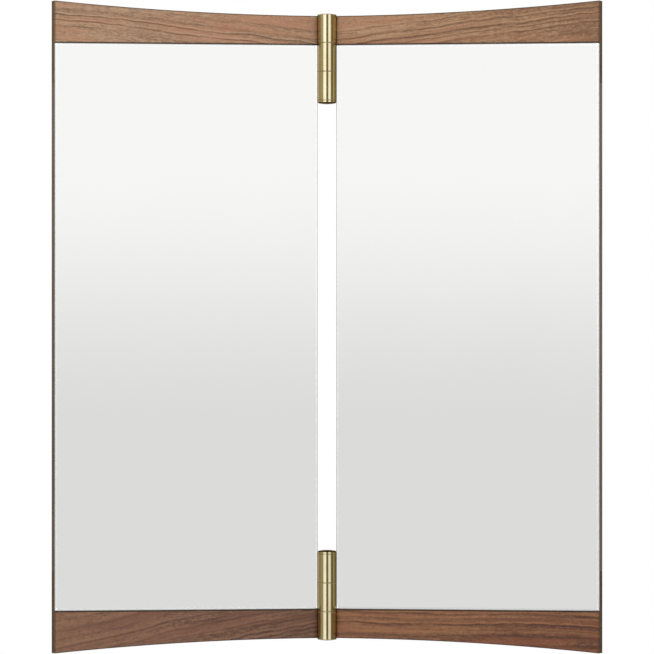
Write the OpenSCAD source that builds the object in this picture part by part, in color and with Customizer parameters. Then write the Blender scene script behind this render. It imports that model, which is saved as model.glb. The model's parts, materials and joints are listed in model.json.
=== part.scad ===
// Folding wall mirror: two glass panels in walnut frames, joined by two brass barrel hinges.
// The left panel hangs on the wall and the right one swings.
// Millimetres. +X is to the right and +Z is up, and the glass of the left panel faces -Y.
// The origin lies on the left panel's back, midway between its four hanging holes.

/* [Panels] */
// Height of a panel at its outer corners
panel_h = 700; // [694:1:720]
// Height of a panel beside the hinges, where its bowed edges come closest
waist_h = 672; // [666:1:684]
// Width of one panel
panel_w = 289.2; // [270:0.1:310]
// Thickness of a panel
panel_t = 18; // [17.5:0.5:20]
// Space between the panels when they lie flat, narrower than the barrels that stand before it
gap_w = 18.2; // [18.2:0.1:21]
// Angle that the right panel is folded forwards from flat, as it stands in use
fold_deg = 26; // [0:1:150]

/* [Glass] */
// Height of the glass that shows between the rails
sight_h = 610; // [590:1:616]
// Thickness of the mirror glass
glass_t = 4; // [3:0.5:4]
// Width of the ground bevel round the glass
bevel_w = 2.5; // [1:0.5:6]
// Depth of the bevel at the edge of the glass
bevel_d = 0.8; // [0.6:0.1:1.6]
// Distance that the glass lies behind the faces of the rails
glass_sink = 0.3; // [0.1:0.1:0.5]
// Thickness of the foam tape that holds the glass
tape_t = 1; // [0.8:0.1:1.2]

/* [Wooden frame] */
// Width of a stile, behind the glass
stile_w = 34; // [32:1:40]
// Height of the part of a rail that runs on behind the glass
rail_reach = 43; // [42:1:46]
// Chamfer along the front edges of the rails
arris = 1; // [0.8:0.1:1.5]
// Thickness of the board behind the glass
core_t = 9; // [8:0.5:9]
// Thickness of the back cover
cover_t = 3; // [2.5:0.1:3]
// Width of the step that the back cover lies in
cover_step = 8; // [7:0.5:9]

/* [Hinges] */
// Diameter of a hinge barrel
barrel_d = 20.5; // [19.5:0.1:20.7]
// Height of a hinge's outer end above the middle of the mirror
barrel_end = 338.5; // [337:0.5:340]
// Distance from one knuckle joint to the next
knuckle_pitch = 31; // [30:0.5:31]
// Length of the cap at the inner end of a barrel
cap_h = 4.5; // [4:0.1:5]
// Height of the domes at the ends of a barrel
dome_h = 1.3; // [1:0.1:1.6]
// Diameter of the hinge pin
pin_d = 10; // [8:0.5:11]
// Radial play of the pin in its knuckles
pin_play = 0.05; // [0.02:0.01:0.1]
// Thickness of the washers between the knuckles
washer_t = 0.6; // [0.4:0.1:0.8]
// Play between the middle knuckle and each washer
knuckle_play = 0.05; // [0.02:0.01:0.1]
// Thickness of a hinge leaf
leaf_t = 2.2; // [2:0.1:2.2]
// Distance that the hinge axis lies in front of the rails' faces
axis_front = 4.3; // [4.3:0.1:5.5]

/* [Hanging] */
// Distance between the hanging holes, from side to side
hang_w = 200; // [160:5:220]
// Distance between the hanging holes, from top to bottom
hang_h = 600; // [598:1:602]
// Diameter of the round hole that a wall screw's head goes in by
entry_d = 10; // [8:0.5:11]
// Width of the slot that the screw's neck then sits in
neck_w = 4.6; // [4:0.1:5]
// Thickness of the rubber bumpers on the back
bumper_t = 3; // [2:0.5:5]

/* [Hidden] */

walnut = [0.55, 0.40, 0.30];
brass = [0.80, 0.68, 0.40];
silvered = [0.86, 0.88, 0.89];
board = [0.66, 0.55, 0.42];
steel = [0.62, 0.62, 0.64];
black_rubber = [0.12, 0.12, 0.12];
white_foam = [0.92, 0.92, 0.90];
beech = [0.80, 0.66, 0.48];

// Each panel is drawn in a frame of its own, with the hinge axis as its z axis:
// x runs from the hinge out to the panel's far edge, y to the back and z up.
x_in = gap_w / 2;
x_out = x_in + panel_w;
x_mid = (x_in + x_out) / 2;
y_face = axis_front;
y_back = y_face + panel_t;
y_glass = y_face + glass_sink;
y_stile = y_glass + glass_t;
y_core = y_stile + tape_t;
y_shoulder = y_core + core_t;
y_cover = y_shoulder + cover_t;
z_sight = sight_h / 2;
z_rail = z_sight - rail_reach;
z_waist = waist_h / 2;
x_inner_stile = x_in + stile_w;
x_outer_stile = x_out - stile_w;

// The bowed edge is an arc about a point straight above the hinge axis
bow = (panel_h - waist_h) / 2;
arc_r = (x_out * x_out + bow * bow) / (2 * bow);
arc_fn = 1440;

// Clearances and lengths that only the joiner sees
glass_gap = 0.5;
board_gap = 0.3;
past = 1;
tenon_t = 8;
tenon_w = 18;
tenon_l = 40;
tenon_x = 23;
tenon_cheek = 1.7;
glue_gap = 0.5;
mortise_play = 0.1;
tape_w = 24;
tape_l = 470;
tape_pitch = 75;

// Screws: length, radius of the head, radius of the shank
leaf_screw = [15.5, 3.3, 1.6];
cover_screw = [11, 2.6, 1.3];
plate_screw = [12, 3.4, 1.6];
screw_y = (y_stile + y_back) / 2;
leaf_screw_z = [255, 277, 301, 325];
cover_screw_z = [-200, 0, 200];
cover_screw_x = [-55, 55];
tip_l = 3;
slot_w = 0.8;
slot_d = 1.2;
slot_reach = 1.1;
fine = 48;

// Barrel: the end knuckle is longer than the others by its extra length
barrel_r = barrel_d / 2;
end_extra = 0.5;
knuckle_z = [for (i = [1 : 3]) barrel_end - end_extra - knuckle_pitch * i];
knuckle_edge = 0.35;
washer_in = 0.7;
bore_r = pin_d / 2 + pin_play;
bore_end = barrel_end - 8.5;
pin_spare = 0.5;

// The cap narrows to a rim at its free end
rim_in = 1.2;
rim_h = 0.9;
taper_h = 1.4;

// Leaves: the notches clear the other leaf's knuckles
leaf_x = x_in - leaf_t;
leaf_back = 1.5;
leaf_w = y_back - leaf_back;
leaf_z0 = 247;
leaf_z1 = 334;
leaf_corner = 3;
leaf_clear = 0.9;
leaf_notch = sqrt(barrel_r * barrel_r - leaf_x * leaf_x) + leaf_clear;

// Hanging plates
plate_w = 18;
plate_h = 46;
plate_t = 2;
plate_corner = 3;
plate_rise = 5;
plate_screw_dz = 18;
neck_rise = 10.5;
pocket_w = 12;
pocket_t = 8;
pocket_low = 7;
bumper_d = 12;
bumper_edge = 0.8;
bumper_in = 15.5;
bumper_z = 320;

// Places a panel's own frame in the mirror
module at_hinge() {
    translate([x_mid, -y_back, 0]) children();
}

module at_fixed() {
    at_hinge() mirror([1, 0, 0]) children();
}

module at_swing() {
    at_hinge() rotate([0, 0, -fold_deg]) children();
}

// Raises a flat outline drawn in x and z into a board between two depths
module board_between(y0, y1) {
    translate([0, y1, 0]) rotate([90, 0, 0]) linear_extrude(y1 - y0) children();
}

module round_rect(w, h, r) {
    square([w - 2 * r, h], center = true);
    square([w, h - 2 * r], center = true);
    for (sx = [-1, 1], sy = [-1, 1])
        translate([sx * (w / 2 - r), sy * (h / 2 - r)]) circle(r = r, $fn = fine);
}

// Countersunk wood screw, its head flush with z = 0 and its point below
module screw(size) {
    head_h = size[1] - size[2];
    difference() {
        rotate_extrude($fn = fine)
            polygon([[0, 0], [size[1], 0], [size[2], -head_h],
                     [size[2], tip_l - size[0]], [0, -size[0]]]);
        for (a = [0, 90])
            rotate(a) cube([size[1] * slot_reach, slot_w, 2 * slot_d], center = true);
    }
}

// What a screw takes out of the pieces that it holds together
module screw_hole(size) {
    head_h = size[1] - size[2];
    translate([0, 0, -head_h]) cylinder(h = head_h, r1 = size[2], r2 = size[1], $fn = fine);
    translate([0, 0, -size[0]]) cylinder(h = size[0], r = size[2], $fn = fine);
}

module at_cover_screws() {
    x_side = [x_inner_stile - cover_step / 2, x_outer_stile + cover_step / 2];
    for (x = x_side, z = cover_screw_z)
        translate([x, y_cover, z]) rotate([-90, 0, 0]) children();
    for (dx = cover_screw_x, s = [-1, 1])
        translate([x_mid + dx, y_cover, s * (z_rail + cover_step / 2)])
            rotate([-90, 0, 0]) children();
}

module at_leaf_screws() {
    for (z = leaf_screw_z)
        translate([leaf_x, screw_y, z]) rotate([0, -90, 0]) children();
}

// The four hanging holes, each at the middle of its round entry
module at_hangers() {
    for (dx = [-1, 1], s = [-1, 1])
        translate([x_mid + dx * hang_w / 2, y_back, s * hang_h / 2]) children();
}

module at_plate_screws() {
    at_hangers() for (s = [-1, 1])
        translate([0, 0, plate_rise + s * plate_screw_dz]) rotate([-90, 0, 0]) children();
}

// Wood

module rail_outline() {
    difference() {
        translate([x_in, z_rail]) square([panel_w, panel_h / 2 - z_rail + past]);
        translate([0, z_waist + arc_r]) circle(r = arc_r, $fn = arc_fn);
    }
}

// Takes the sharp edge off the rail's face: along the bow, the sight edge and both ends
module rail_arris() {
    side = arris * sqrt(2);
    translate([0, y_face, z_waist + arc_r])
        rotate([90, 0, 0]) rotate_extrude($fn = arc_fn)
            translate([arc_r, 0]) rotate(45) square(side, center = true);
    translate([x_mid, y_face, z_sight]) rotate([45, 0, 0])
        cube([panel_w + 2 * past, side, side], center = true);
    for (x = [x_in, x_out])
        translate([x, y_face, panel_h / 2]) rotate([0, 0, 45])
            cube([side, side, 2 * (panel_h / 2 - z_sight + past)], center = true);
}

// Loose tenon with round edges; its mortise has play all round and room for glue at the ends
module tenon(play = 0, end_gap = 0) {
    half = tenon_w / 2 - tenon_t / 2;
    thick = tenon_t + 2 * play;
    translate([0, 0, -tenon_l / 2 - end_gap]) linear_extrude(tenon_l + 2 * end_gap) {
        square([2 * half, thick], center = true);
        for (s = [-1, 1]) translate([s * half, 0]) circle(d = thick, $fn = fine);
    }
}

module mortise() {
    tenon(mortise_play, glue_gap);
}

module at_tenons() {
    y_tenon = y_stile + tenon_cheek + tenon_t / 2;
    for (x = [x_in + tenon_x, x_out - tenon_x], s = [-1, 1])
        translate([x, y_tenon, s * z_rail]) children();
}

// Upper rail: one board with a bowed top, cut back in front for the glass
module rail_blank() {
    difference() {
        board_between(y_face, y_back) rail_outline();
        translate([x_in - past, y_face - past, z_rail - past])
            cube([panel_w + 2 * past, y_stile - y_face + past, rail_reach + past]);
        translate([x_inner_stile - cover_step, y_shoulder, z_rail - past])
            cube([x_outer_stile - x_inner_stile + 2 * cover_step,
                  y_back - y_shoulder + past, cover_step + past]);
        rail_arris();
    }
}

module rail(upper) {
    difference() {
        mirror([0, 0, upper ? 0 : 1]) rail_blank();
        at_tenons() mortise();
        at_cover_screws() screw_hole(cover_screw);
        mirror([0, 0, upper ? 0 : 1]) at_leaf_screws() screw_hole(leaf_screw);
    }
}

// A pocket behind each hanging plate, with room for the wall screw's head
module hanging_rail(upper) {
    difference() {
        rail(upper);
        at_hangers() translate([-pocket_w / 2, -plate_t - pocket_t, -pocket_low])
            cube([pocket_w, pocket_t + past, pocket_low + neck_rise + neck_w / 2]);
        at_hangers() translate([0, 0, plate_rise])
            board_between(-plate_t, past) round_rect(plate_w, plate_h, plate_corner);
        at_plate_screws() screw_hole(plate_screw);
    }
}

module stile_blank(x0, step_x) {
    difference() {
        translate([x0, y_stile, -z_rail]) cube([stile_w, y_back - y_stile, 2 * z_rail]);
        translate([step_x, y_shoulder, -z_rail - past])
            cube([cover_step, y_back - y_shoulder + past, 2 * (z_rail + past)]);
        at_tenons() mortise();
        at_cover_screws() screw_hole(cover_screw);
    }
}

module outer_stile() {
    stile_blank(x_outer_stile, x_outer_stile);
}

module inner_stile() {
    difference() {
        stile_blank(x_in, x_inner_stile - cover_step);
        for (m = [0, 1]) mirror([0, 0, m]) at_leaf_screws() screw_hole(leaf_screw);
    }
}

// Glass, boards and tape

// Wedge that leaves the bevel along an edge of the glass
module bevel_wedge(length) {
    slope = bevel_d / bevel_w;
    linear_extrude(length + 2 * past, center = true)
        polygon([[-past, bevel_d + past * slope], [bevel_w + past, -past * slope],
                 [-past, -past * slope]]);
}

module mirror_glass() {
    glass_h = sight_h - 2 * glass_gap;
    difference() {
        board_between(y_glass, y_stile)
            translate([x_mid, 0]) square([panel_w, glass_h], center = true);
        for (m = [0, 1]) translate([x_mid, y_glass, 0]) mirror([m, 0, 0])
            translate([-panel_w / 2, 0, 0]) bevel_wedge(glass_h);
        for (m = [0, 1]) mirror([0, 0, m]) translate([x_mid, y_glass, glass_h / 2])
            rotate([0, 90, 0]) bevel_wedge(panel_w);
    }
}

module glass_tape() {
    for (i = [-1 : 1])
        board_between(y_stile, y_core) translate([x_mid + i * tape_pitch, 0])
            square([tape_w, tape_l], center = true);
}

module core_board() {
    w = x_outer_stile - x_inner_stile - 2 * board_gap;
    board_between(y_core, y_shoulder) translate([x_mid, 0])
        square([w, 2 * (z_rail - board_gap)], center = true);
}

module back_cover() {
    w = x_outer_stile - x_inner_stile + 2 * (cover_step - board_gap);
    h = 2 * (z_rail + cover_step - board_gap);
    difference() {
        board_between(y_shoulder, y_cover) translate([x_mid, 0]) square([w, h], center = true);
        at_cover_screws() screw_hole(cover_screw);
    }
}

// Hanging plates and bumpers

module keyhole_plate() {
    difference() {
        board_between(-plate_t, 0) difference() {
            translate([0, plate_rise]) round_rect(plate_w, plate_h, plate_corner);
            circle(d = entry_d, $fn = fine);
            translate([-neck_w / 2, 0]) square([neck_w, neck_rise]);
            translate([0, neck_rise]) circle(d = neck_w, $fn = fine);
        }
        for (s = [-1, 1]) translate([0, 0, plate_rise + s * plate_screw_dz])
            rotate([-90, 0, 0]) screw_hole(plate_screw);
    }
}

module bumpers() {
    for (x = [x_in + bumper_in, x_out - bumper_in], s = [-1, 1])
        translate([x, y_back, s * bumper_z]) rotate([-90, 0, 0])
            rotate_extrude($fn = fine)
                polygon([[0, 0], [bumper_d / 2, 0], [bumper_d / 2, bumper_t - bumper_edge],
                         [bumper_d / 2 - bumper_edge, bumper_t], [0, bumper_t]]);
}

// Hinges, each drawn as the upper one: the cap is at the lower end of its barrel

module knuckle(z0, z1) {
    e = knuckle_edge;
    rotate_extrude($fn = 2 * fine)
        polygon([[0, z0], [barrel_r - e, z0], [barrel_r, z0 + e],
                 [barrel_r, z1 - e], [barrel_r - e, z1], [0, z1]]);
}

// A ball whose top lies at z, low enough to round a barrel's end by the dome's height
module dome_ball(z) {
    r = (barrel_r * barrel_r + dome_h * dome_h) / (2 * dome_h);
    translate([0, 0, z - r]) sphere(r = r, $fn = 3 * fine);
}

// Flat leaf against the panel's side, with a tongue to each of its own knuckles
module leaf_plate(tongues) {
    translate([leaf_x, 0, 0]) rotate([90, 0, 90]) linear_extrude(leaf_t) {
        translate([leaf_notch, leaf_z0])
            square([leaf_w - leaf_notch - leaf_corner, leaf_z1 - leaf_z0]);
        translate([leaf_w / 2, leaf_z0 + leaf_corner])
            square([leaf_w / 2, leaf_z1 - leaf_z0 - 2 * leaf_corner]);
        for (z = [leaf_z0 + leaf_corner, leaf_z1 - leaf_corner])
            translate([leaf_w - leaf_corner, z]) circle(r = leaf_corner, $fn = fine);
        for (t = tongues)
            translate([0, t[0]]) square([leaf_notch + past, t[1] - t[0]]);
    }
}

module pin_bore() {
    translate([0, 0, knuckle_z[2] - past])
        cylinder(h = bore_end - knuckle_z[2] + past, r = bore_r, $fn = fine);
}

// Leaf with the two outer knuckles of the barrel: the end one is closed by a dome
module double_leaf() {
    end_z = knuckle_z[0] + washer_t / 2;
    cap_z = knuckle_z[1] - washer_t / 2;
    difference() {
        union() {
            intersection() {
                knuckle(end_z, barrel_end + past);
                dome_ball(barrel_end);
            }
            knuckle(knuckle_z[2], cap_z);
            leaf_plate([[end_z, leaf_z1], [leaf_z0, cap_z]]);
        }
        pin_bore();
        at_leaf_screws() screw_hole(leaf_screw);
    }
}

// Leaf with the middle knuckle
module single_leaf() {
    low_z = knuckle_z[1] + washer_t / 2 + knuckle_play;
    high_z = knuckle_z[0] - washer_t / 2 - knuckle_play;
    difference() {
        union() {
            knuckle(low_z, high_z);
            leaf_plate([[low_z, high_z]]);
        }
        pin_bore();
        at_leaf_screws() screw_hole(leaf_screw);
    }
}

// Pin with its cap, which closes the inner end of the barrel
module hinge_pin() {
    end_z = knuckle_z[2] - cap_h;
    rim_r = barrel_r - rim_in;
    translate([0, 0, knuckle_z[2] - past])
        cylinder(h = bore_end - pin_spare - knuckle_z[2] + past, d = pin_d, $fn = fine);
    intersection() {
        rotate_extrude($fn = 2 * fine)
            polygon([[0, end_z - past], [rim_r, end_z - past], [rim_r, end_z + rim_h],
                     [barrel_r, end_z + rim_h + taper_h], [barrel_r, knuckle_z[2] - knuckle_edge],
                     [barrel_r - knuckle_edge, knuckle_z[2]], [0, knuckle_z[2]]]);
        mirror([0, 0, 1]) dome_ball(-end_z);
    }
}

module hinge_washers() {
    for (z = [knuckle_z[0], knuckle_z[1]])
        translate([0, 0, z - washer_t / 2]) difference() {
            cylinder(h = washer_t, r = barrel_r - washer_in, $fn = 2 * fine);
            translate([0, 0, -past]) cylinder(h = washer_t + 2 * past, r = bore_r, $fn = fine);
        }
}

// Pieces of the left panel, fixed to the wall
module fixed_top_rail() { color(walnut) at_fixed() hanging_rail(true); }
module fixed_bottom_rail() { color(walnut) at_fixed() hanging_rail(false); }
module fixed_outer_stile() { color(walnut) at_fixed() outer_stile(); }
module fixed_inner_stile() { color(walnut) at_fixed() inner_stile(); }
module fixed_tenons() { color(beech) at_fixed() at_tenons() tenon(); }
module fixed_mirror_glass() { color(silvered) at_fixed() mirror_glass(); }
module fixed_glass_tape() { color(white_foam) at_fixed() glass_tape(); }
module fixed_core_board() { color(board) at_fixed() core_board(); }
module fixed_back_cover() { color(board) at_fixed() back_cover(); }
module fixed_cover_screws() { color(steel) at_fixed() at_cover_screws() screw(cover_screw); }
module keyhole_plates() { color(steel) at_fixed() at_hangers() keyhole_plate(); }
module keyhole_screws() { color(steel) at_fixed() at_plate_screws() screw(plate_screw); }
module wall_bumpers() { color(black_rubber) at_fixed() bumpers(); }

// Pieces of the right panel, which swings
module swing_top_rail() { color(walnut) at_swing() rail(true); }
module swing_bottom_rail() { color(walnut) at_swing() rail(false); }
module swing_outer_stile() { color(walnut) at_swing() outer_stile(); }
module swing_inner_stile() { color(walnut) at_swing() inner_stile(); }
module swing_tenons() { color(beech) at_swing() at_tenons() tenon(); }
module swing_mirror_glass() { color(silvered) at_swing() mirror_glass(); }
module swing_glass_tape() { color(white_foam) at_swing() glass_tape(); }
module swing_core_board() { color(board) at_swing() core_board(); }
module swing_back_cover() { color(board) at_swing() back_cover(); }
module swing_cover_screws() { color(steel) at_swing() at_cover_screws() screw(cover_screw); }
module swing_bumpers() { color(black_rubber) at_swing() bumpers(); }

// Upper hinge: its pin and its two-knuckle leaf go with the right panel
module upper_double_leaf() { color(brass) at_swing() double_leaf(); }
module upper_single_leaf() { color(brass) at_fixed() single_leaf(); }
module upper_pin() { color(brass) at_swing() hinge_pin(); }
module upper_washers() { color(brass) at_swing() hinge_washers(); }
module upper_double_leaf_screws() { color(brass) at_swing() at_leaf_screws() screw(leaf_screw); }
module upper_single_leaf_screws() { color(brass) at_fixed() at_leaf_screws() screw(leaf_screw); }

// Lower hinge: the same hinge turned end for end, so its pin goes with the left panel
module turned() { mirror([0, 0, 1]) children(); }
module lower_double_leaf() { color(brass) at_fixed() turned() double_leaf(); }
module lower_single_leaf() { color(brass) at_swing() turned() single_leaf(); }
module lower_pin() { color(brass) at_fixed() turned() hinge_pin(); }
module lower_washers() { color(brass) at_fixed() turned() hinge_washers(); }
module lower_double_leaf_screws() {
    color(brass) at_fixed() turned() at_leaf_screws() screw(leaf_screw);
}
module lower_single_leaf_screws() {
    color(brass) at_swing() turned() at_leaf_screws() screw(leaf_screw);
}

fixed_top_rail();
fixed_bottom_rail();
fixed_outer_stile();
fixed_inner_stile();
fixed_tenons();
fixed_mirror_glass();
fixed_glass_tape();
fixed_core_board();
fixed_back_cover();
fixed_cover_screws();
keyhole_plates();
keyhole_screws();
wall_bumpers();
swing_top_rail();
swing_bottom_rail();
swing_outer_stile();
swing_inner_stile();
swing_tenons();
swing_mirror_glass();
swing_glass_tape();
swing_core_board();
swing_back_cover();
swing_cover_screws();
swing_bumpers();
upper_double_leaf();
upper_single_leaf();
upper_pin();
upper_washers();
upper_double_leaf_screws();
upper_single_leaf_screws();
lower_double_leaf();
lower_single_leaf();
lower_pin();
lower_washers();
lower_double_leaf_screws();
lower_single_leaf_screws();
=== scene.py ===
# Folding wall mirror: two bevelled plates of mirror glass in walnut frames, on two brass hinges.
# Metres. +X is to the right, +Z is up and the wall lies behind y = 0.
import json
import math

import bmesh
import bpy
from mathutils import Matrix, Vector

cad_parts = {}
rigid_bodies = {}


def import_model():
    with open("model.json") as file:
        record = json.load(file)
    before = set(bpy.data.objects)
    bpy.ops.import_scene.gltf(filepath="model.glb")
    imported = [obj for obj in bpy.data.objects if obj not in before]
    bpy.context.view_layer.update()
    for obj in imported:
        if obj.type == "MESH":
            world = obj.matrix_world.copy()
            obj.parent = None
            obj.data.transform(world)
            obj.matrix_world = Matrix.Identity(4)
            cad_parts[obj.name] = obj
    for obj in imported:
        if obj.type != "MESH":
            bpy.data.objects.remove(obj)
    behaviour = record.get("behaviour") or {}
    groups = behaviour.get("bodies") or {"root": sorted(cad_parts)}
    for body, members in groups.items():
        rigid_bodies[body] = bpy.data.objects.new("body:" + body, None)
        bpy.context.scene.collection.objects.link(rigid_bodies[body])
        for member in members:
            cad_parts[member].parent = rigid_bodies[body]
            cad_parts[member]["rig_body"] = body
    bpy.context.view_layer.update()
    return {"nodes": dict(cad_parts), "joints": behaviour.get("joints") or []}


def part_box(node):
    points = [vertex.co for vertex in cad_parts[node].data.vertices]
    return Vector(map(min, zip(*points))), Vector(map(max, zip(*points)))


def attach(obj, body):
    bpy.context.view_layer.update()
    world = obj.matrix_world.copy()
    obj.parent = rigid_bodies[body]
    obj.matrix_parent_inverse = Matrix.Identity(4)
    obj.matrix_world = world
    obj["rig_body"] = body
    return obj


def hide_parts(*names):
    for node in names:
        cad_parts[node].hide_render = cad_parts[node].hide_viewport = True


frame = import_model()

# Camera
# A long lens looks almost level along the line that halves the fold, straight at the hinges.
fold = frame["joints"][0]
hinge_axis = Vector(fold["pos_m"])
# At its lower limit the joint lays the panels flat, so at rest the right one is turned this far
fold_turn = math.radians(fold["range_deg"][0])
camera_turn = fold_turn / 2
camera_distance = 8.406
camera_low = 0.008
camera_data = bpy.data.cameras.new("camera")
camera_data.sensor_width = 36
camera_data.lens = 428.5
camera_data.clip_end = 100
camera = bpy.data.objects.new("camera", camera_data)
camera.location = hinge_axis + Vector((math.sin(camera_turn) * camera_distance,
                                       -math.cos(camera_turn) * camera_distance, -camera_low))
camera.rotation_euler = (hinge_axis - camera.location).to_track_quat("-Z", "Y").to_euler()
bpy.context.scene.collection.objects.link(camera)
bpy.context.scene.camera = camera
bpy.context.scene.view_settings.view_transform = "Standard"

# Studio
# A pale floor lies well below the mirror, and three soft lamps and an even sky give plain light.
# What is polished sees white walls with warm, dark screens between them, and a greyer lower half.


def add(tree, kind, inputs=None, **settings):
    """Adds a node. Each input takes a plain value or another node's output."""
    node = tree.nodes.new("ShaderNode" + kind)
    for name, value in settings.items():
        setattr(node, name, value)
    for name, value in (inputs or {}).items():
        if isinstance(value, bpy.types.NodeSocket):
            tree.links.new(value, node.inputs[name])
        else:
            node.inputs[name].default_value = value
    return node


def maths(tree, operation, *values):
    return add(tree, "Math", dict(enumerate(values)), operation=operation).outputs[0]


def rise(tree, value, low, high, bottom=0, top=1):
    """Goes smoothly from bottom to top as value goes from low to high."""
    inputs = {0: value, 1: low, 2: high, 3: bottom, 4: top}
    return add(tree, "MapRange", inputs, interpolation_type="SMOOTHSTEP").outputs[0]


def mix(tree, share, first, second, how="MIX"):
    node = add(tree, "Mix", {0: share, 6: first, 7: second}, data_type="RGBA", blend_type=how)
    return node.outputs[2]


def grey(tree, level):
    """A level as a vector or colour with three equal parts."""
    return add(tree, "CombineXYZ", {axis: level for axis in range(3)}).outputs[0]


def steps(tree, value, stops):
    """Follows pairs of a place, from 0 to 1, and the level there."""
    ramp = add(tree, "ValToRGB", {0: value})
    band = ramp.color_ramp
    while len(band.elements) < len(stops):
        band.elements.new(1)
    for element, (place, level) in zip(band.elements, stops):
        element.position = place
        element.color = (level, level, level, 1)
    return ramp.outputs[0]


floor_drop = 1.1
floor_half = 4
floor_mesh = bpy.data.meshes.new("studio_floor")
floor_corners = [(x * floor_half, y * floor_half, -floor_drop)
                 for x, y in ((-1, -1), (1, -1), (1, 1), (-1, 1))]
floor_mesh.from_pydata(floor_corners, [], [(0, 1, 2, 3)])
floor = bpy.data.objects.new("studio_floor", floor_mesh)
bpy.context.scene.collection.objects.link(floor)
floor_paint = bpy.data.materials.new("pale_floor")
floor_paint.use_nodes = True
floor_shader = floor_paint.node_tree.nodes["Principled BSDF"]
floor_shader.inputs["Base Color"].default_value = (0.86, 0.86, 0.86, 1)
floor_shader.inputs["Roughness"].default_value = 0.8
floor_mesh.materials.append(floor_paint)

# How bright the even sky makes a white surface, where 1 is white
sky_level = 0.5
# Degrees to the right of the camera's line, and how bright the walls are there
walls = [(-180, 0.9), (-168, 0.3), (-140, 0.2), (-110, 0.34), (-84, 0.4), (-71, 0.55),
         (-58, 0.48), (-50, 0.54), (-43, 0.85), (-38, 2.2), (-31, 2.3), (-29.5, 0.98),
         (-22.5, 0.98), (-21, 2.3), (-12, 1.6), (-7, 0.3), (0, 0.08), (9, 0.12), (16, 1.15),
         (21, 1.25), (22.5, 0.98), (29.5, 0.98), (31, 2.2), (37, 1.6), (43, 1.05), (50, 0.41),
         (54, 0.27), (66, 0.18), (90, 0.33), (140, 0.2), (168, 0.3), (180, 0.9)]
# The same for what is seen after a second reflection, such as the glass in a barrel
walls_again = [(-180, 0.28), (-80, 0.44), (-67, 0.47), (-48, 0.42), (-24, 0.85), (-5, 0.8),
               (10, 0.28), (49, 0.3), (60, 0.5), (67, 0.55), (80, 0.44), (180, 0.28)]
# The darker a place on the walls, the warmer: its green and blue are multiplied by these powers
# of its brightness, which counts up to the coolest
green_fall = 0.12
blue_fall = 0.6
coolest = 1.2
# Degrees above the horizon, between which the walls turn from greyer to white
walls_low = -0.75
walls_high = 1.3
lower_level = 0.769
# Degrees above and below the horizon, between which the screens fade into white walls
screens_fade = (12, 25)
# Degrees above the horizon, between which the walls turn into a dark ceiling
ceiling = (55, 75)
ceiling_level = 0.15
# The sky counts as one more meeting of the ray, so a first reflection has a depth of two
first_depth = 2
# A perfect mirror sees the walls without the screens
plain_wall = (0.98, 0.98, 0.98, 1)

world = bpy.data.worlds.new("studio")
bpy.context.scene.world = world
world.use_nodes = True
sky = world.node_tree
sky.nodes.clear()
seen = add(sky, "TexCoord").outputs["Generated"]
turned = add(sky, "VectorRotate", {"Vector": seen, "Angle": -camera_turn},
             rotation_type="Z_AXIS").outputs[0]
right, away, up = add(sky, "SeparateXYZ", {0: turned}).outputs
around = maths(sky, "ARCTAN2", right, maths(sky, "MULTIPLY", away, -1))
around = maths(sky, "ADD", maths(sky, "DIVIDE", around, 2 * math.pi), 0.5)
height = maths(sky, "DEGREES", maths(sky, "ARCSINE", up))
rays = add(sky, "LightPath").outputs
second = maths(sky, "GREATER_THAN", rays["Ray Depth"], first_depth + 0.5)
screens = mix(sky, second, *[steps(sky, around, [(turn / 360 + 0.5, level) for turn, level in row])
                             for row in (walls, walls_again)])
mirrored = maths(sky, "MULTIPLY", rays["Is Singular Ray"], maths(sky, "SUBTRACT", 1, second))
screens = mix(sky, mirrored, screens, plain_wall)
past_screens = rise(sky, maths(sky, "ABSOLUTE", height), *screens_fade)
beside = maths(sky, "MULTIPLY", screens, maths(sky, "SUBTRACT", 1, past_screens))
screens = maths(sky, "ADD", beside, past_screens)
screens = maths(sky, "MULTIPLY", screens, rise(sky, height, *ceiling, 1, ceiling_level))
dim = maths(sky, "MINIMUM", screens, coolest)
warm = add(sky, "CombineXYZ", {0: 1, 1: maths(sky, "POWER", dim, green_fall),
                               2: maths(sky, "POWER", dim, blue_fall)}).outputs[0]
tinted = mix(sky, 1, warm, grey(sky, screens), "MULTIPLY")
shade = rise(sky, height, walls_low, walls_high, lower_level, 1)
polished_sees = mix(sky, 1, tinted, grey(sky, shade), "MULTIPLY")
level = mix(sky, rays["Is Camera Ray"], polished_sees, (1, 1, 1, 1))
shown = maths(sky, "MAXIMUM", rays["Is Camera Ray"],
              maths(sky, "MAXIMUM", rays["Is Glossy Ray"], rays["Is Transmission Ray"]))
lighting = add(sky, "Background", {"Color": (1, 1, 1, 1), "Strength": sky_level})
surroundings = add(sky, "Background", {"Color": level, "Strength": 1})
both = add(sky, "MixShader", {0: shown, 1: lighting.outputs[0], 2: surroundings.outputs[0]})
add(sky, "OutputWorld", {"Surface": both.outputs[0]})

lamp_distance = 3
lamp_size = 1.6
# How bright one lamp makes a white surface that faces it, where 1 is white
lamp_level = 0.35


def soft_lamp(name, turn, height):
    """A square lamp, turned in degrees from the camera's line and raised in degrees from level."""
    lamp = bpy.data.lights.new(name, "AREA")
    lamp.size = lamp_size
    lamp.energy = lamp_level * (math.pi * lamp_distance) ** 2
    turn = camera_turn + math.radians(turn)
    height = math.radians(height)
    back = Vector((math.sin(turn) * math.cos(height), -math.cos(turn) * math.cos(height),
                   math.sin(height)))
    placed = bpy.data.objects.new(name, lamp)
    placed.location = hinge_axis + back * lamp_distance
    placed.rotation_euler = (-back).to_track_quat("-Z", "Y").to_euler()
    placed.visible_glossy = False
    bpy.context.scene.collection.objects.link(placed)


soft_lamp("key_lamp", -30, 42)
soft_lamp("fill_lamp", 35, 18)
soft_lamp("back_lamp", 180, 30)

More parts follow.
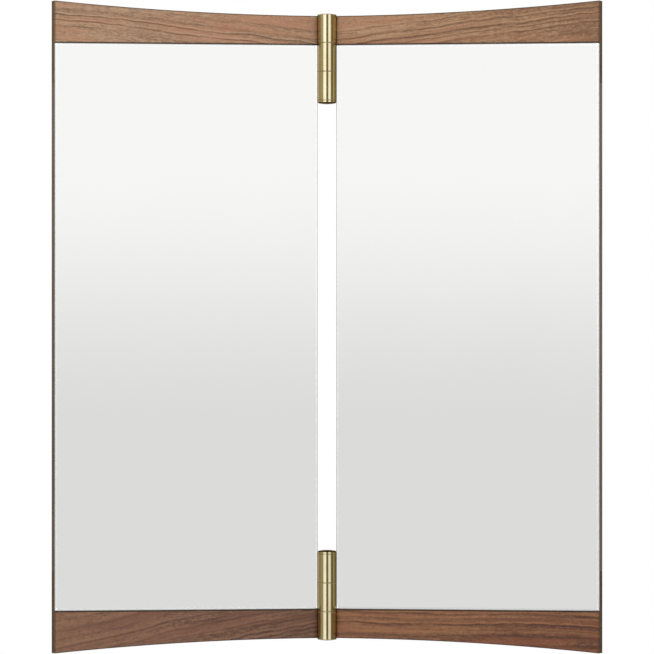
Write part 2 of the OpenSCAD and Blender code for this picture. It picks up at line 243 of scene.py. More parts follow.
# Walnut rails
# Each panel's top and bottom rail is one board of walnut, with its grain along its length. The
# outer edge is sawn to a long bow, the arrises are eased and the whole is oiled to a satin shine.


def paint(red, green, blue):
    """A colour given as it looks on a screen, from 0 to 255."""
    shares = [part / 255 for part in (red, green, blue)]
    return tuple(s / 12.92 if s < 0.04 else ((s + 0.055) / 1.055) ** 2.4 for s in shares) + (1,)


def effect(name, inputs, outputs):
    """An empty group of nodes that several finishes share, with its inlets and outlets."""
    tree = bpy.data.node_groups.new(name, "ShaderNodeTree")
    for label, kind in inputs.items():
        tree.interface.new_socket(label, in_out="INPUT", socket_type="NodeSocket" + kind)
    for label, kind in outputs.items():
        tree.interface.new_socket(label, in_out="OUTPUT", socket_type="NodeSocket" + kind)
    return tree, tree.nodes.new("NodeGroupInput").outputs, tree.nodes.new("NodeGroupOutput").inputs


def use(tree, shared, **inputs):
    """Places a shared effect in a finish, with its own values, and returns what it gives."""
    return add(tree, "Group", inputs, node_tree=shared).outputs


def noise(tree, place, fineness, detail=2):
    """Noise over a place in millimetres. fineness is in waves to a millimetre along each axis."""
    spot = add(tree, "VectorMath", {0: place, 1: fineness}, operation="MULTIPLY").outputs[0]
    return add(tree, "TexNoise", {"Vector": spot, "Scale": 1, "Detail": detail}).outputs[0]


def about_zero(tree, place, fineness, detail=2):
    """The same noise with its middle at zero."""
    return maths(tree, "SUBTRACT", noise(tree, place, fineness, detail), 0.5)


def varied(tree, noisy, low, high):
    """Goes from low to high over the range that noise mostly keeps to."""
    return rise(tree, noisy, 0.3, 0.7, low, high)


# Where a point lies in its panel, in millimetres, and which way its face looks
board_axes, given, gives = effect("board_axes", {"Turn": "Float"},
                                  {"Place": "Vector", "Front": "Float", "End": "Float",
                                   "Edge": "Float"})
spots = add(board_axes, "TexCoord").outputs
place = add(board_axes, "VectorRotate", {"Vector": spots["Object"], "Angle": given["Turn"],
                                         "Center": hinge_axis}, rotation_type="Z_AXIS").outputs[0]
place = add(board_axes, "VectorMath", {0: place, "Scale": 1000}, operation="SCALE").outputs[0]
board_axes.links.new(place, gives["Place"])
facing = add(board_axes, "VectorRotate", {"Vector": spots["Normal"], "Angle": given["Turn"]},
             rotation_type="Z_AXIS").outputs[0]
facing = add(board_axes, "SeparateXYZ", {0: facing}).outputs
for label, axis in (("Front", 1), ("End", 0), ("Edge", 2)):
    board_axes.links.new(maths(board_axes, "ABSOLUTE", facing[axis]), gives[label])

# The fineness of a board's marks along it, into it and across it
drift_fineness = (0.009, 0.02, 0.012)
curl_fineness = (0.05, 0.06, 0.07)
ring_fineness = (0.0015, 0.05, 0.06)
patch_fineness = (0.006, 0.05, 0.09)
pore_fineness = (0.07, 2, 1.8)
blush_fineness = (0.01, 0.08, 0.12)
# The levels of their noise between which they appear
patch_levels = (0.4, 0.62)
pore_levels = (0.6, 0.72)
blush_levels = (0.42, 0.68)
# How strong the curl is in the fibres' waves, and how strong the red blush and the dark rings and
# pores are in the colour
curl_share = 0.16
blush_share = 0.65
dark_share = 0.35
# A ring darkens slowly and ends sharply, between these shares of its width
ring_dark = (0.4, 0.85)
ring_end = (0.88, 1)
# How many rings' widths the rings waver, and their depth as a share of a pore's
ring_waver = 2.6
ring_sunk = 0.3
# Fineness, detail and share in the tone
streaks = (((0.004, 0.06, 0.13), 2, 1.0), ((0.022, 0.5, 0.5), 2, 1.0))
flecks = (((0.1, 0.8, 0.7), 2, 1.4), ((0.34, 0.8, 0.8), 1, 1.8))
# Boards come from places this many millimetres apart in the noise, so that no two look alike
boards_apart = 997
oiled_roughness = (0.36, 0.5)

# The figure of a sawn board: rings, streaks, flecks and pores. Grain is the place with the waves
# of the fibres taken out of its third part, so that a growth line there is a plain height.
# Middle is where halfway along the board lies, Slope how steeply its fibres rise, Wave how far
# they wander, Ring how wide a ring is and Fade how much darker it gets with each millimetre
figured, given, gives = effect(
    "wood_figure",
    {"Place": "Vector", "Light": "Color", "Dark": "Color", "Red": "Color", "Line": "Color",
     "Middle": "Float", "Slope": "Float", "Wave": "Float", "Ring": "Float", "Fade": "Float",
     "Fleck": "Float", "Shift": "Float"},
    {"Color": "Color", "Grain": "Vector", "Roughness": "Float", "Height": "Float"})
along, deep, across = add(figured, "SeparateXYZ", {0: given["Place"]}).outputs
out = maths(figured, "SUBTRACT", along, given["Middle"])
along = maths(figured, "ADD", along, maths(figured, "MULTIPLY", given["Shift"], boards_apart))
spot = add(figured, "CombineXYZ", {0: along, 1: deep, 2: across}).outputs[0]
drift = about_zero(figured, spot, drift_fineness, 1)
curl = about_zero(figured, spot, curl_fineness)
wave = maths(figured, "MULTIPLY", given["Wave"],
             maths(figured, "ADD", drift, maths(figured, "MULTIPLY", curl, curl_share)))
lift = maths(figured, "ADD", maths(figured, "MULTIPLY", out, given["Slope"]), wave)
across = maths(figured, "SUBTRACT", across, lift)
grain = add(figured, "CombineXYZ", {0: along, 1: deep, 2: across}).outputs[0]
figured.links.new(grain, gives["Grain"])

uneven = maths(figured, "MULTIPLY", noise(figured, grain, ring_fineness), ring_waver)
rings = maths(figured, "ADD", maths(figured, "DIVIDE", across, given["Ring"]), uneven)
ring = maths(figured, "FRACT", rings)
ring = maths(figured, "MULTIPLY", rise(figured, ring, *ring_dark),
             rise(figured, ring, *ring_end, 1, 0))
patchy = rise(figured, noise(figured, grain, patch_fineness, 1), *patch_levels)
ring = maths(figured, "MULTIPLY", ring, patchy)

tone = maths(figured, "MULTIPLY", out, given["Fade"])
for fineness, detail, share in streaks:
    part = about_zero(figured, grain, fineness, detail)
    tone = maths(figured, "ADD", tone, maths(figured, "MULTIPLY", part, share))
for fineness, detail, share in flecks:
    part = about_zero(figured, grain, fineness, detail)
    share = maths(figured, "MULTIPLY", given["Fleck"], share)
    tone = maths(figured, "ADD", tone, maths(figured, "MULTIPLY", part, share))
tone = maths(figured, "ADD", tone, 0.5)
pores = rise(figured, noise(figured, grain, pore_fineness, 1), *pore_levels)
colour = mix(figured, tone, given["Light"], given["Dark"])
blush = rise(figured, noise(figured, grain, blush_fineness, 1), *blush_levels, 0, blush_share)
colour = mix(figured, blush, colour, given["Red"])
colour = mix(figured, maths(figured, "MULTIPLY", ring, dark_share), colour, given["Line"])
colour = mix(figured, maths(figured, "MULTIPLY", pores, dark_share), colour, given["Line"])
figured.links.new(colour, gives["Color"])
figured.links.new(rise(figured, tone, 0, 1, *oiled_roughness), gives["Roughness"])
sunk = maths(figured, "ADD", pores, maths(figured, "MULTIPLY", ring, ring_sunk))
figured.links.new(maths(figured, "MULTIPLY", sunk, -1), gives["Height"])

# One growth line: thin, dark late wood with a paler line of early wood above it. Each starts, is
# strongest and ends at so many of the line's widths above its height
line_shades = {"Late": (-1.2, 0, 0.7), "Early": (0.5, 1.2, 2.4)}
# Its height jitters over so many millimetres, and its strength comes and goes along it
jitter_fineness = (0.03, 0.05, 0.02)
jitter_height = 6
strength_fineness = (0.03, 0.05, 0.05)
strength_levels = (0.35, 0.55)
weakest = 0.45

growth_line, given, gives = effect(
    "growth_line", {"Grain": "Vector", "At": "Float", "Width": "Float"},
    {"Late": "Float", "Early": "Float"})
across = add(growth_line, "SeparateXYZ", {0: given["Grain"]}).outputs[2]
jitter = about_zero(growth_line, given["Grain"], jitter_fineness)
off = maths(growth_line, "SUBTRACT", across, given["At"])
off = maths(growth_line, "ADD", off, maths(growth_line, "MULTIPLY", jitter, jitter_height))
off = maths(growth_line, "DIVIDE", off, given["Width"])
strong = noise(growth_line, given["Grain"], strength_fineness)
strong = rise(growth_line, strong, *strength_levels, weakest, 1)
for label, (low, top, high) in line_shades.items():
    mask = maths(growth_line, "MULTIPLY", rise(growth_line, off, low, top),
                 rise(growth_line, off, top, high, 1, 0))
    growth_line.links.new(maths(growth_line, "MULTIPLY", mask, strong), gives[label])


def finish(name):
    """A new material, with its nodes and its shader."""
    made = bpy.data.materials.new(name)
    made.use_nodes = True
    return made, made.node_tree, made.node_tree.nodes["Principled BSDF"]


def bump(tree, height, depth, strength=1):
    """The normal of a surface whose height, from 0 to 1, spans a depth in metres."""
    return add(tree, "Bump", {"Height": height, "Distance": depth, "Strength": strength}).outputs[0]


def connect(tree, shader, **sockets):
    for name, value in sockets.items():
        tree.links.new(value, shader.inputs[name.replace("_", " ")])


def dress(node, made):
    """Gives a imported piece, whose shape stays as it is, its finish."""
    mesh = frame["nodes"][node].data
    mesh.materials.clear()
    mesh.materials.append(made)


# The dark of oiled end grain, also used for painted shade on the arrises and the backs of the ends
oil_dark_and_shade = paint(38, 30, 25)
# How strong a line's pale early wood is beside its dark late wood
early_share = 0.8
# How squarely a face has to look one way for its shade to start and to be full, from 0 to 1
arris_slant = (0.3, 0.6)
end_slant = (0.5, 0.9)
# The front and the back of the rails, in millimetres
rail_depths = [corner.y * 1000 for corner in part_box("fixed_top_rail")]
pore_depth = 0.0002
pore_strength = 0.3


def sawn_board(name, turn, figure, lines=(), arris_shade_level=0.0, end_grain_and_shade=(0.5, 0.8), upright=False):
    """Oiled wood. lines gives the height of each growth line, its width and how dark it is,
    the arris setting how dark the painted shade on the arrises is, and the end setting how dark
    the end grain is in front and at the back: partly its own oiled end grain, and partly painted
    shade that grows towards the back."""
    made, tree, shader = finish(name)
    axes = use(tree, board_axes, Turn=turn)
    x, y, z = add(tree, "SeparateXYZ", {0: axes["Place"]}).outputs
    spot = axes["Place"]
    if upright:
        spot = add(tree, "CombineXYZ", {0: z, 1: y, 2: x}).outputs[0]
    grain = use(tree, figured, Place=spot, **figure)
    colour = grain["Color"]
    for height, width, dark in lines:
        line = use(tree, growth_line, Grain=grain["Grain"], At=height, Width=width)
        early = maths(tree, "MULTIPLY", line["Early"], dark * early_share)
        colour = mix(tree, early, colour, figure["Light"])
        late = maths(tree, "MULTIPLY", line["Late"], dark)
        colour = mix(tree, late, colour, figure["Line"])
    # Along the bows the eased arrises are painted dark, as shade
    arris = maths(tree, "MULTIPLY", rise(tree, axes["Edge"], *arris_slant),
                  rise(tree, axes["Front"], *arris_slant))
    arris = maths(tree, "MULTIPLY", arris, arris_shade_level)
    # End grain is darker, partly with its own oil and partly with painted shade that grows towards
    # the back
    end = maths(tree, "MULTIPLY", rise(tree, axes["End"], *end_slant),
                rise(tree, y, *rail_depths, *end_grain_and_shade))
    oiled_and_shaded = mix(tree, maths(tree, "MAXIMUM", arris, end), colour, oil_dark_and_shade)
    connect(tree, shader, Base_Color=oiled_and_shaded, Roughness=grain["Roughness"],
            Normal=bump(tree, grain["Height"], pore_depth, pore_strength))
    shader.inputs["Specular IOR Level"].default_value = 0.4
    return made


# How far each panel is turned back to lie flat, and where its middle is then, in millimetres
panel_turn = {"fixed": 0, "swing": -fold_turn}
panel_middle = {"fixed": 0, "swing": 2000 * hinge_axis.x}
# The bottom rails are darker than the top rails, partly in their own boards and partly as painted
# shade
rail_figures = {
    "fixed_top_rail": dict(Light=paint(173, 140, 111), Dark=paint(127, 97, 75),
                           Red=paint(170, 122, 92), Line=paint(90, 60, 40), Slope=-0.102,
                           Wave=7, Ring=11, Fade=0.001, Fleck=1, Shift=1),
    "swing_top_rail": dict(Light=paint(170, 133, 100), Dark=paint(120, 86, 61),
                           Red=paint(158, 107, 78), Line=paint(84, 54, 36), Slope=0.112,
                           Wave=9, Ring=9, Fade=0.0022, Fleck=0.85, Shift=2),
    "fixed_bottom_rail": dict(Light=paint(136, 99, 74), Dark=paint(89, 59, 44),
                              Red=paint(116, 76, 58), Line=paint(56, 36, 28), Slope=0.2,
                              Wave=14, Ring=10, Fade=0.0028, Fleck=0.85, Shift=3),
    "swing_bottom_rail": dict(Light=paint(148, 101, 66), Dark=paint(82, 48, 31),
                              Red=paint(122, 70, 44), Line=paint(58, 32, 22), Slope=-0.01,
                              Wave=5, Ring=8, Fade=0.002, Fleck=0.6, Shift=4),
}
# The growth lines: millimetres above the middle of the mirror, halfway along the rail, width in
# millimetres and how dark
rail_lines = {
    "fixed_top_rail": ((321.6, 1.2, 0.8), (315.3, 1.2, 0.8), (334, 1.5, 0.25), (308.5, 1.3, 0.3)),
    "swing_top_rail": ((334.8, 1.3, 0.6), (326.7, 1.3, 0.7), (320, 1.2, 0.8), (315.6, 1.1, 0.6),
                       (310.6, 1.3, 0.7)),
    "fixed_bottom_rail": ((-315.5, 1.5, 0.4), (-326.2, 1.6, 0.4), (-335, 1.6, 0.35),
                          (-346.9, 1.6, 0.7), (-351.7, 1.5, 0.6), (-356.5, 1.5, 0.5)),
    "swing_bottom_rail": ((-309, 1.8, 0.6), (-320, 1.5, 0.85), (-326, 1.3, 0.3), (-332, 3.5, 0.5)),
}
for rail, figure in rail_figures.items():
    panel = rail.split("_")[0]
    figure["Middle"] = panel_middle[panel]
    dress(rail, sawn_board(f"{rail}_walnut", panel_turn[panel], figure, rail_lines[rail],
                           arris_shade_level=0.75))

# Stiles
# Upright walnut boards stand behind each edge of the glass and join the rails. Only their oiled
# sides and backs can be seen.
for panel, turn in panel_turn.items():
    for number, side in enumerate(("outer", "inner")):
        figure = dict(Light=paint(123, 107, 101), Dark=paint(85, 72, 66), Red=paint(112, 87, 77),
                      Line=paint(58, 47, 41), Middle=0, Slope=0, Wave=8, Ring=9, Fade=-0.0015,
                      Fleck=0.8, Shift=5 + number)
        stile = f"{panel}_{side}_stile"
        dress(stile, sawn_board(f"{stile}_walnut", turn, figure, end_grain_and_shade=(0, 0), upright=True))

# Tenons
# Loose tenons of plain beech are glued into slots across the four corners of each frame, where
# they stay out of sight.
for number, (panel, turn) in enumerate(panel_turn.items()):
    figure = dict(Light=paint(219, 189, 152), Dark=paint(198, 164, 126), Red=paint(206, 166, 132),
                  Line=paint(160, 122, 88), Middle=0, Slope=0, Wave=4, Ring=5, Fade=0, Fleck=0.5,
                  Shift=9 + number)
    dress(f"{panel}_tenons", sawn_board(f"{panel}_beech", turn, figure, upright=True))

# Mirror glass
# Each panel's mirror is 4 mm float glass, silvered and painted grey on its back. Its face has a
# narrow polished bevel and a ground arris all round, and its edge shows along the panel's sides.
panel_frames = {"fixed": Matrix.Translation(hinge_axis),
                "swing": Matrix.Translation(hinge_axis) @ Matrix.Rotation(fold_turn, 4, "Z")}
# The way along x from the hinges to each panel's outer edge
outward = {"fixed": -1, "swing": 1}
bevel_wide = 0.0019
bevel_deep = 0.00025
arris_wide = 0.0006
arris_deep = 0.0008
glass_corner = 0.0012
glass_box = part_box("fixed_mirror_glass")
# Over silvering a bevel works as a prism, and turns what it mirrors towards the plate's middle,
# most of all at the steeper edge beside the hinges
outer_prism = 0.15
inner_prism = 0.66

# Folded together the plates mirror each other without end, so after the third image the silvering
# turns black and glows a plain grey, a painted reflection in place of the further images
last_image = 3
painted_reflection_grey = (0.7, 0.72, 0.7, 1)
black = (0, 0, 0, 1)

silver, tree, shader = finish("silvering")
spot = use(tree, board_axes, Turn=0)["Place"]
cloud = noise(tree, spot, (0.01, 0.01, 0.01), 3)
silvery = mix(tree, cloud, (0.93, 0.935, 0.93, 1), (0.95, 0.952, 0.948, 1))
images = add(tree, "LightPath").outputs["Ray Depth"]
ends = maths(tree, "GREATER_THAN", images, last_image + 0.5)
# Past the last image the silvering is black and glows grey, as painted reflection
connect(tree, shader, Base_Color=mix(tree, ends, silvery, black),
        Emission_Color=mix(tree, ends, black, painted_reflection_grey))
shader.inputs["Emission Strength"].default_value = 1
shader.inputs["Metallic"].default_value = 1
shader.inputs["Roughness"].default_value = 0

bevel_finishes = {}
for panel, turn in panel_turn.items():
    bevel_finishes[panel], tree, shader = finish(f"{panel}_polished_bevel")
    axes = use(tree, board_axes, Turn=turn)
    haze = noise(tree, axes["Place"], (0.3, 0.3, 0.3), 3)
    x = add(tree, "SeparateXYZ", {0: axes["Place"]}).outputs[0]
    outwards = maths(tree, "SUBTRACT", x, panel_middle[panel])
    outwards = maths(tree, "MULTIPLY", outwards, outward[panel])
    prism = 0
    for sign, edge, slope in ((1, glass_box[0].x, outer_prism), (-1, glass_box[1].x, inner_prism)):
        start = abs(edge) - bevel_wide - arris_wide
        past = maths(tree, "SUBTRACT", maths(tree, "MULTIPLY", outwards, sign), start * 1000)
        rising = maths(tree, "MULTIPLY", maths(tree, "MAXIMUM", past, 0), slope)
        prism = maths(tree, "ADD", prism, rising)
    silvery = mix(tree, haze, (0.93, 0.935, 0.93, 1), (0.96, 0.962, 0.958, 1))
    connect(tree, shader, Base_Color=silvery, Roughness=varied(tree, haze, 0.08, 0.12),
            Normal=bump(tree, prism, 0.001))
    shader.inputs["Metallic"].default_value = 1

arris_finish, tree, shader = finish("ground_arris")
spot = use(tree, board_axes, Turn=0)["Place"]
frost = noise(tree, spot, (0.8, 0.8, 0.8), 3)
connect(tree, shader, Base_Color=mix(tree, frost, paint(168, 171, 168), paint(200, 202, 199)),
        Roughness=varied(tree, frost, 0.35, 0.5))

edge_finish, tree, shader = finish("glass_edge")
spot = use(tree, board_axes, Turn=0)["Place"]
frost = noise(tree, spot, (0.6, 0.6, 0.6), 3)
connect(tree, shader, Base_Color=mix(tree, frost, paint(104, 110, 102), paint(134, 138, 130)),
        Roughness=varied(tree, frost, 0.2, 0.35))

backing, tree, shader = finish("backing_paint")
spot = use(tree, board_axes, Turn=0)["Place"]
brushed = noise(tree, spot, (0.05, 0.05, 0.8), 3)
connect(tree, shader, Base_Color=mix(tree, brushed, paint(112, 118, 122), paint(130, 136, 140)),
        Roughness=varied(tree, brushed, 0.5, 0.65))


def rounded_rectangle(low, high, radius, y, arc_steps=4):
    """A loop of points round an upright rectangle at depth y."""
    points = []
    for number, (x, z) in enumerate(((high[0], high[1]), (low[0], high[1]), (low[0], low[1]),
                                     (high[0], low[1]))):
        sx, sz = (1, 1, -1, -1)[(number + 1) % 4], (1, 1, -1, -1)[number]
        centre = (x - sx * radius, z - sz * radius)
        for step in range(arc_steps + 1):
            angle = math.pi / 2 * (number + step / arc_steps)
            points.append(Vector((centre[0] + radius * math.cos(angle), y,
                                  centre[1] + radius * math.sin(angle))))
    return points


def loft(shape, rings, surfaces):
    """Skins a row of equal loops and closes both ends. surfaces has one slot for each strip, and
    before and after those the slots of the two ends."""
    loops = [[shape.verts.new(point) for point in ring] for ring in rings]
    count = len(rings[0])
    for slot, (first, second) in zip(surfaces[1:-1], zip(loops, loops[1:])):
        for i in range(count):
            j = (i + 1) % count
            shape.faces.new((first[i], first[j], second[j], second[i])).material_index = slot
    shape.faces.new(loops[0][::-1]).material_index = surfaces[0]
    shape.faces.new(loops[-1]).material_index = surfaces[-1]


def piece(name, shape, finishes, smooth=math.radians(35)):
    """An object made of a finished shape, its faces turned outwards and its curves smooth."""
    bmesh.ops.recalc_face_normals(shape, faces=shape.faces)
    mesh = bpy.data.meshes.new(name)
    shape.to_mesh(mesh)
    shape.free()
    for made in finishes:
        mesh.materials.append(made)
    mesh.shade_smooth()
    mesh.set_sharp_from_angle(angle=smooth)
    made_piece = bpy.data.objects.new(name, mesh)
    bpy.context.scene.collection.objects.link(made_piece)
    return made_piece


def stand_for(made_piece, node):
    """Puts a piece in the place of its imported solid, on the same body."""
    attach(made_piece, frame["nodes"][node]["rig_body"])
    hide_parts(node)


# Faces that meet at more than this stay crisp
glass_smooth = math.radians(4)
# The finishes' slots for the face, the bevel, the arris, the edge and the back
glass_slots = (0, 1, 2, 3, 4)
glass_low, glass_high = (corner - hinge_axis for corner in glass_box)
for panel, side in outward.items():
    sides = sorted(-side * x for x in (glass_low.x, glass_high.x))
    low, high = Vector((sides[0], glass_low.z)), Vector((sides[1], glass_high.z))
    face_inset = Vector((1, 1)) * (bevel_wide + arris_wide)
    arris_inset = Vector((1, 1)) * arris_wide
    shape = bmesh.new()
    loft(shape, [rounded_rectangle(low + face_inset, high - face_inset, glass_corner, glass_low.y),
                 rounded_rectangle(low + arris_inset, high - arris_inset, glass_corner,
                                   glass_low.y + bevel_deep),
                 rounded_rectangle(low, high, glass_corner, glass_low.y + arris_deep),
                 rounded_rectangle(low, high, glass_corner, glass_high.y)], glass_slots)
    shape.transform(panel_frames[panel])
    finishes = (silver, bevel_finishes[panel], arris_finish, edge_finish, backing)
    plate = piece(f"{panel}_glass_plate", shape, finishes, glass_smooth)
    stand_for(plate, f"{panel}_mirror_glass")

# Tape and boards
# Strips of white foam tape hold the glass to a fibreboard core. A hardboard cover, smooth side
# out, lies in a step round the back of the frame.
cells_per_mm = 2.5
foam, tree, shader = finish("white_foam")
spot = use(tree, board_axes, Turn=0)["Place"]
cells = add(tree, "TexVoronoi", {"Vector": spot, "Scale": cells_per_mm}).outputs["Distance"]
connect(tree, shader, Base_Color=mix(tree, cells, (0.72, 0.72, 0.7, 1), (0.84, 0.84, 0.82, 1)),
        Roughness=rise(tree, cells, 0, 1, 0.8, 0.95), Normal=bump(tree, cells, 0.0001))

fibreboard, tree, shader = finish("fibreboard")
spot = use(tree, board_axes, Turn=0)["Place"]
fibres = noise(tree, spot, (0.9, 2.2, 0.9), 4)
connect(tree, shader, Base_Color=mix(tree, fibres, paint(178, 148, 112), paint(202, 172, 134)),
        Roughness=varied(tree, fibres, 0.75, 0.9), Normal=bump(tree, fibres, 0.00005))


def hardboard(name, turn):
    """Brown board with soft clouds, dark fibres and paler sawn edges."""
    made, tree, shader = finish(name)
    axes = use(tree, board_axes, Turn=turn)
    cloud = noise(tree, axes["Place"], (0.012, 0.012, 0.012), 3)
    fibres = noise(tree, axes["Place"], (0.8, 3, 0.8), 4)
    dark = rise(tree, fibres, 0.45, 0.7, 0, 0.45)
    sawn = rise(tree, axes["Front"], 0.7, 0.98, 0.6, 0)
    colour = mix(tree, rise(tree, cloud, 0.35, 0.65), paint(124, 92, 65), paint(132, 98, 69))
    colour = mix(tree, dark, colour, paint(92, 64, 43))
    colour = mix(tree, sawn, colour, paint(150, 116, 84))
    connect(tree, shader, Base_Color=colour, Roughness=varied(tree, fibres, 0.42, 0.6),
            Normal=bump(tree, fibres, 0.00004))
    return made


for panel, turn in panel_turn.items():
    dress(f"{panel}_glass_tape", foam)
    dress(f"{panel}_core_board", fibreboard)
    dress(f"{panel}_back_cover", hardboard(f"{panel}_hardboard", turn))

# Hanging plates
# Four plates of zinc-plated steel are let in flush behind the left panel. The head of a wall
# screw goes in through the round hole and the panel drops, so that its neck sits in the slot.
spangles_per_mm = 0.35
zinc, tree, shader = finish("zinc_plating")
spot = use(tree, board_axes, Turn=0)["Place"]
spangle = add(tree, "TexVoronoi", {"Vector": spot, "Scale": spangles_per_mm}).outputs["Color"]
spangle = add(tree, "SeparateColor", {0: spangle}).outputs[0]
rolled = noise(tree, spot, (4, 4, 0.1))
connect(tree, shader, Base_Color=mix(tree, spangle, (0.6, 0.61, 0.62, 1), (0.7, 0.71, 0.71, 1)),
        Roughness=maths(tree, "ADD", rise(tree, spangle, 0, 1, 0.25, 0.36),
                        varied(tree, rolled, 0, 0.1)))
shader.inputs["Metallic"].default_value = 1
dress("keyhole_plates", zinc)

# Bumpers
# Soft black rubber buttons are stuck on the corners of both backs. They hold the panels off the
# wall and keep them from scratching it.
rubber, tree, shader = finish("black_rubber")
spot = use(tree, board_axes, Turn=0)["Place"]
bloom = noise(tree, spot, (0.5, 0.5, 0.5), 4)
connect(tree, shader, Base_Color=mix(tree, bloom, (0.018, 0.018, 0.018, 1), (0.04, 0.04, 0.039, 1)),
        Roughness=varied(tree, bloom, 0.55, 0.75), Normal=bump(tree, bloom, 0.00004))


def solid_boxes(node, panel):
    """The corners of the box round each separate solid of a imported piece, in its panel's frame."""
    solid = bmesh.new()
    solid.from_mesh(frame["nodes"][node].data)
    solid.transform(panel_frames[panel].inverted())
    bmesh.ops.remove_doubles(solid, verts=solid.verts, dist=1e-6)
    boxes = []
    met = set()
    for start in solid.verts:
        if start in met:
            continue
        met.add(start)
        found = [start]
        for vert in found:
            for edge in vert.link_edges:
                other = edge.other_vert(vert)
                if other not in met:
                    met.add(other)
                    found.append(other)
        boxes.append([Vector([pick(vert.co[axis] for vert in found) for axis in range(3)])
                      for pick in (min, max)])
    solid.free()
    return boxes


def turned_ring(radius, z, around=48):
    return [Vector((radius * math.cos(2 * math.pi * i / around),
                    radius * math.sin(2 * math.pi * i / around), z)) for i in range(around)]


# From the foot over the rounded edge to the dimple: shares of the button's radius and height
bumper_profile = ((1, 0), (1, 0.5), (0.97, 0.72), (0.9, 0.87), (0.78, 0.96), (0.62, 1), (0.3, 1),
                  (0.2, 0.95))
for panel, node in (("fixed", "wall_bumpers"), ("swing", "swing_bumpers")):
    shape = bmesh.new()
    for low, high in solid_boxes(node, panel):
        button = bmesh.new()
        radius = (high.z - low.z) / 2
        rings = [turned_ring(radius * r, (high.y - low.y) * h) for r, h in bumper_profile]
        loft(button, rings, [0] * (len(rings) + 1))
        middle = (low + high) / 2
        button.transform(Matrix.Translation((middle.x, low.y, middle.z))
                         @ Matrix.Rotation(-math.pi / 2, 4, "X"))
        ready = bpy.data.meshes.new("button")
        button.to_mesh(ready)
        button.free()
        shape.from_mesh(ready)
    shape.transform(panel_frames[panel])
    stand_for(piece(f"{panel}_rubber_buttons", shape, (rubber,)), node)

# Hinges
# Both hinges are turned and milled from brass bar, then polished and lacquered. Each has a leaf
# with two knuckles, a leaf with one, a pin with its cap, two washers and eight screws.

# The end of either cap, and how far from it the painted shade on the cap's rounded end starts to
# fade and is gone, in millimetres
cap_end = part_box("upper_pin")[0].z * 1000
cap_shade_fade = 2.1
cap_shade_gone = 2.5
# The dark of the washers' tarnish, also used as painted shade on the caps' rounded ends
tarnish_and_cap_shade = paint(50, 42, 28)
# How much rougher the marks of turning are than the polish
turning_marks = 0.06


def brass(name, polish, tarnish, cap_shade_level=0.0):
    """Lacquered brass. polish is how rough its smoothest places are, tarnish how dark all of it is
    and the cap setting how dark the painted shade on the cap's rounded end is."""
    made, tree, shader = finish(name)
    place = use(tree, board_axes, Turn=0)["Place"]
    turning = noise(tree, place, (0.25, 0.25, 6), 3)
    cloud = noise(tree, place, (0.06, 0.06, 0.03))
    bright = mix(tree, rise(tree, cloud, 0.35, 0.65), (0.68, 0.6, 0.38, 1), (0.64, 0.55, 0.33, 1))
    height = maths(tree, "ABSOLUTE", add(tree, "SeparateXYZ", {0: place}).outputs[2])
    # The cap's rounded end is painted dark, as shade
    cap_shade = rise(tree, height, cap_end + cap_shade_fade, cap_end + cap_shade_gone, cap_shade_level, 0)
    colour = mix(tree, maths(tree, "MAXIMUM", tarnish, cap_shade), bright, tarnish_and_cap_shade)
    connect(tree, shader, Base_Color=colour,
            Roughness=varied(tree, turning, polish, polish + turning_marks))
    shader.inputs["Metallic"].default_value = 1
    shader.inputs["Specular Tint"].default_value = (0.55, 0.45, 0.35, 1)
    return made


polished = brass("polished_brass", polish=0.1, tarnish=0)
capped = brass("capped_brass", polish=0.1, tarnish=0, cap_shade_level=1)
dull = brass("dull_brass", polish=0.2, tarnish=0.12)
for hinge in ("upper", "lower"):
    for part in ("double_leaf", "single_leaf"):
        dress(f"{hinge}_{part}", polished)
    dress(f"{hinge}_pin", capped)
    dress(f"{hinge}_washers", dull)

# Screws
# Countersunk wood screws with cross recesses: zinc-plated ones hold the covers and the hanging
# plates, and brass ones the hinge leaves.
steel, tree, shader = finish("zinc_screws")
spot = use(tree, board_axes, Turn=0)["Place"]
dip = noise(tree, spot, (1.2, 1.2, 1.2), 3)
connect(tree, shader, Base_Color=mix(tree, dip, (0.52, 0.53, 0.54, 1), (0.66, 0.66, 0.65, 1)),
        Roughness=varied(tree, dip, 0.22, 0.38))
shader.inputs["Metallic"].default_value = 1

# Shares of the head's radius: the shank's radius, the flat of the head, and the cross recess's
# reach, half its width and its depth
shank_share = 0.48
flat_share = 0.97
arm_share = 0.62
arm_half_share = 0.15
recess_share = 0.6
# The recess's reach at its bottom as a share of that at its top, and the depth of the head's rim
recess_taper = 0.45
rim_deep = 0.00012
# Shares of the length: where the shank ends, where the core and the point start, and the thread
shank_end = 0.34
core_start = 0.36
point_start = 0.82
thread_share = 0.46
# Shares of the shank's radius: the core's radius and the thread's pitch
core_share = 0.72
pitch_share = 0.8
# Shares of the core's radius: the thread's foot, its crest where it runs out, and the blunt point
foot_share = 0.9
run_out_share = 0.95
point_share = 0.08
# Half the thread's width at its foot, as a share of the pitch
foot_half = 0.22
# The sines and cosines that a cross divides by are never smaller
least = 1e-6


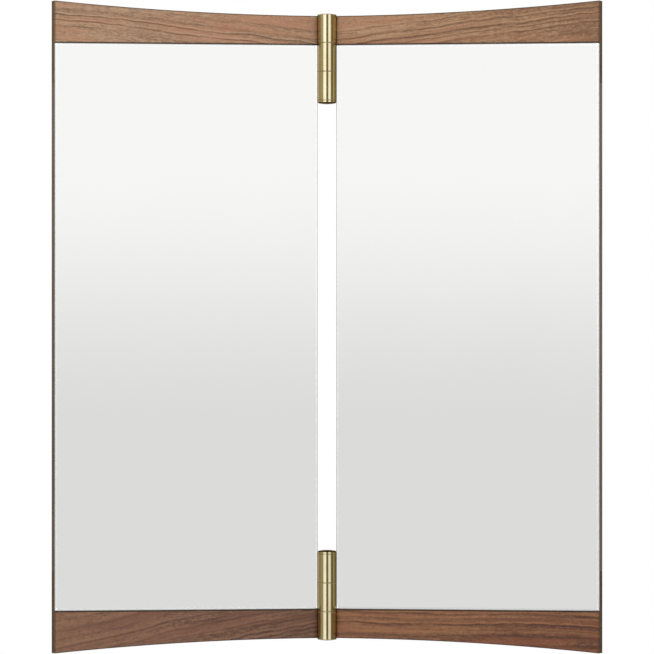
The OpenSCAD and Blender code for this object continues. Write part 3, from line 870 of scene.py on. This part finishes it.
def wood_screw(length, head_r):
    """A screw whose head is flush with z = 0 and whose point is below."""
    shank_r = head_r * shank_share
    core_r = shank_r * core_share
    arm_long, arm_half = head_r * arm_share, head_r * arm_half_share
    corner = math.atan2(arm_half, arm_long)
    quarter = (0, corner, math.pi / 8 + corner / 2, math.pi / 4, 3 * math.pi / 8 - corner / 2,
               math.pi / 2 - corner)
    angles = [math.pi / 2 * q + a for q in range(4) for a in quarter]

    def circle(radius, z):
        return [Vector((radius * math.cos(a), radius * math.sin(a), z)) for a in angles]

    def cross(scale, z):
        reach = []
        for a in angles:
            c, s = max(abs(math.cos(a)), least), max(abs(math.sin(a)), least)
            level, upright = min(arm_long / c, arm_half / s), min(arm_long / s, arm_half / c)
            reach.append(scale * max(level, upright))
        return [Vector((r * math.cos(a), r * math.sin(a), z)) for r, a in zip(reach, angles)]

    head_h = head_r - shank_r
    screw = bmesh.new()
    rings = [cross(recess_taper, -head_r * recess_share), cross(1, 0),
             circle(head_r * flat_share, 0), circle(head_r, -rim_deep), circle(shank_r, -head_h),
             circle(shank_r, -length * shank_end), circle(core_r, -length * core_start),
             circle(core_r, -length * point_start), circle(core_r * point_share, -length)]
    loft(screw, rings, [0] * (len(rings) + 1))
    pitch = shank_r * pitch_share
    around = 12
    start, turns = -length * core_start, int(length * thread_share / pitch)
    foot_r, run_out_r, half = core_r * foot_share, core_r * run_out_share, pitch * foot_half
    last = None
    for step in range(turns * around + 1):
        angle = 2 * math.pi * step / around
        z = start - pitch * step / around
        fade = min(1, step / around, (turns * around - step) / around)
        crest_r = run_out_r + (shank_r - run_out_r) * fade
        spots = [(foot_r, z + half), (crest_r, z), (foot_r, z - half)]
        section = [screw.verts.new((r * math.cos(angle), r * math.sin(angle), h)) for r, h in spots]
        if last:
            for i in range(len(section)):
                j = (i + 1) % len(section)
                screw.faces.new((last[i], last[j], section[j], section[i]))
        else:
            screw.faces.new(section)
        last = section
    screw.faces.new(last[::-1])
    ready = bpy.data.meshes.new("screw")
    screw.to_mesh(ready)
    screw.free()
    return ready


# Radians that each cross is turned from the one before it
cross_turn = 2.4


def screw_set(node, panel, made, faces_back):
    """Every screw of a packed group. Their heads look back, or else to the hinge side."""
    shape = bmesh.new()
    for number, (low, high) in enumerate(solid_boxes(node, panel)):
        middle = (low + high) / 2
        if faces_back:
            length, head_r = high.y - low.y, (high.z - low.z) / 2
            head = Vector((middle.x, high.y, middle.z))
            turn = Matrix.Rotation(-math.pi / 2, 4, "X")
        else:
            length, head_r = high.x - low.x, (high.z - low.z) / 2
            head = Vector((low.x if outward[panel] > 0 else high.x, middle.y, middle.z))
            turn = Matrix.Rotation(-outward[panel] * math.pi / 2, 4, "Y")
        screw = bmesh.new()
        screw.from_mesh(wood_screw(length, head_r))
        spin = Matrix.Rotation(cross_turn * number, 4, "Z")
        screw.transform(Matrix.Translation(head) @ turn @ spin)
        ready = bpy.data.meshes.new("screw")
        screw.to_mesh(ready)
        screw.free()
        shape.from_mesh(ready)
    shape.transform(panel_frames[panel])
    stand_for(piece(f"{node}_turned", shape, (made,)), node)


for panel in panel_frames:
    screw_set(f"{panel}_cover_screws", panel, steel, faces_back=True)
screw_set("keyhole_screws", "fixed", steel, faces_back=True)
for hinge, double, single in (("upper", "swing", "fixed"), ("lower", "fixed", "swing")):
    screw_set(f"{hinge}_double_leaf_screws", double, polished, faces_back=False)
    screw_set(f"{hinge}_single_leaf_screws", single, polished, faces_back=False)
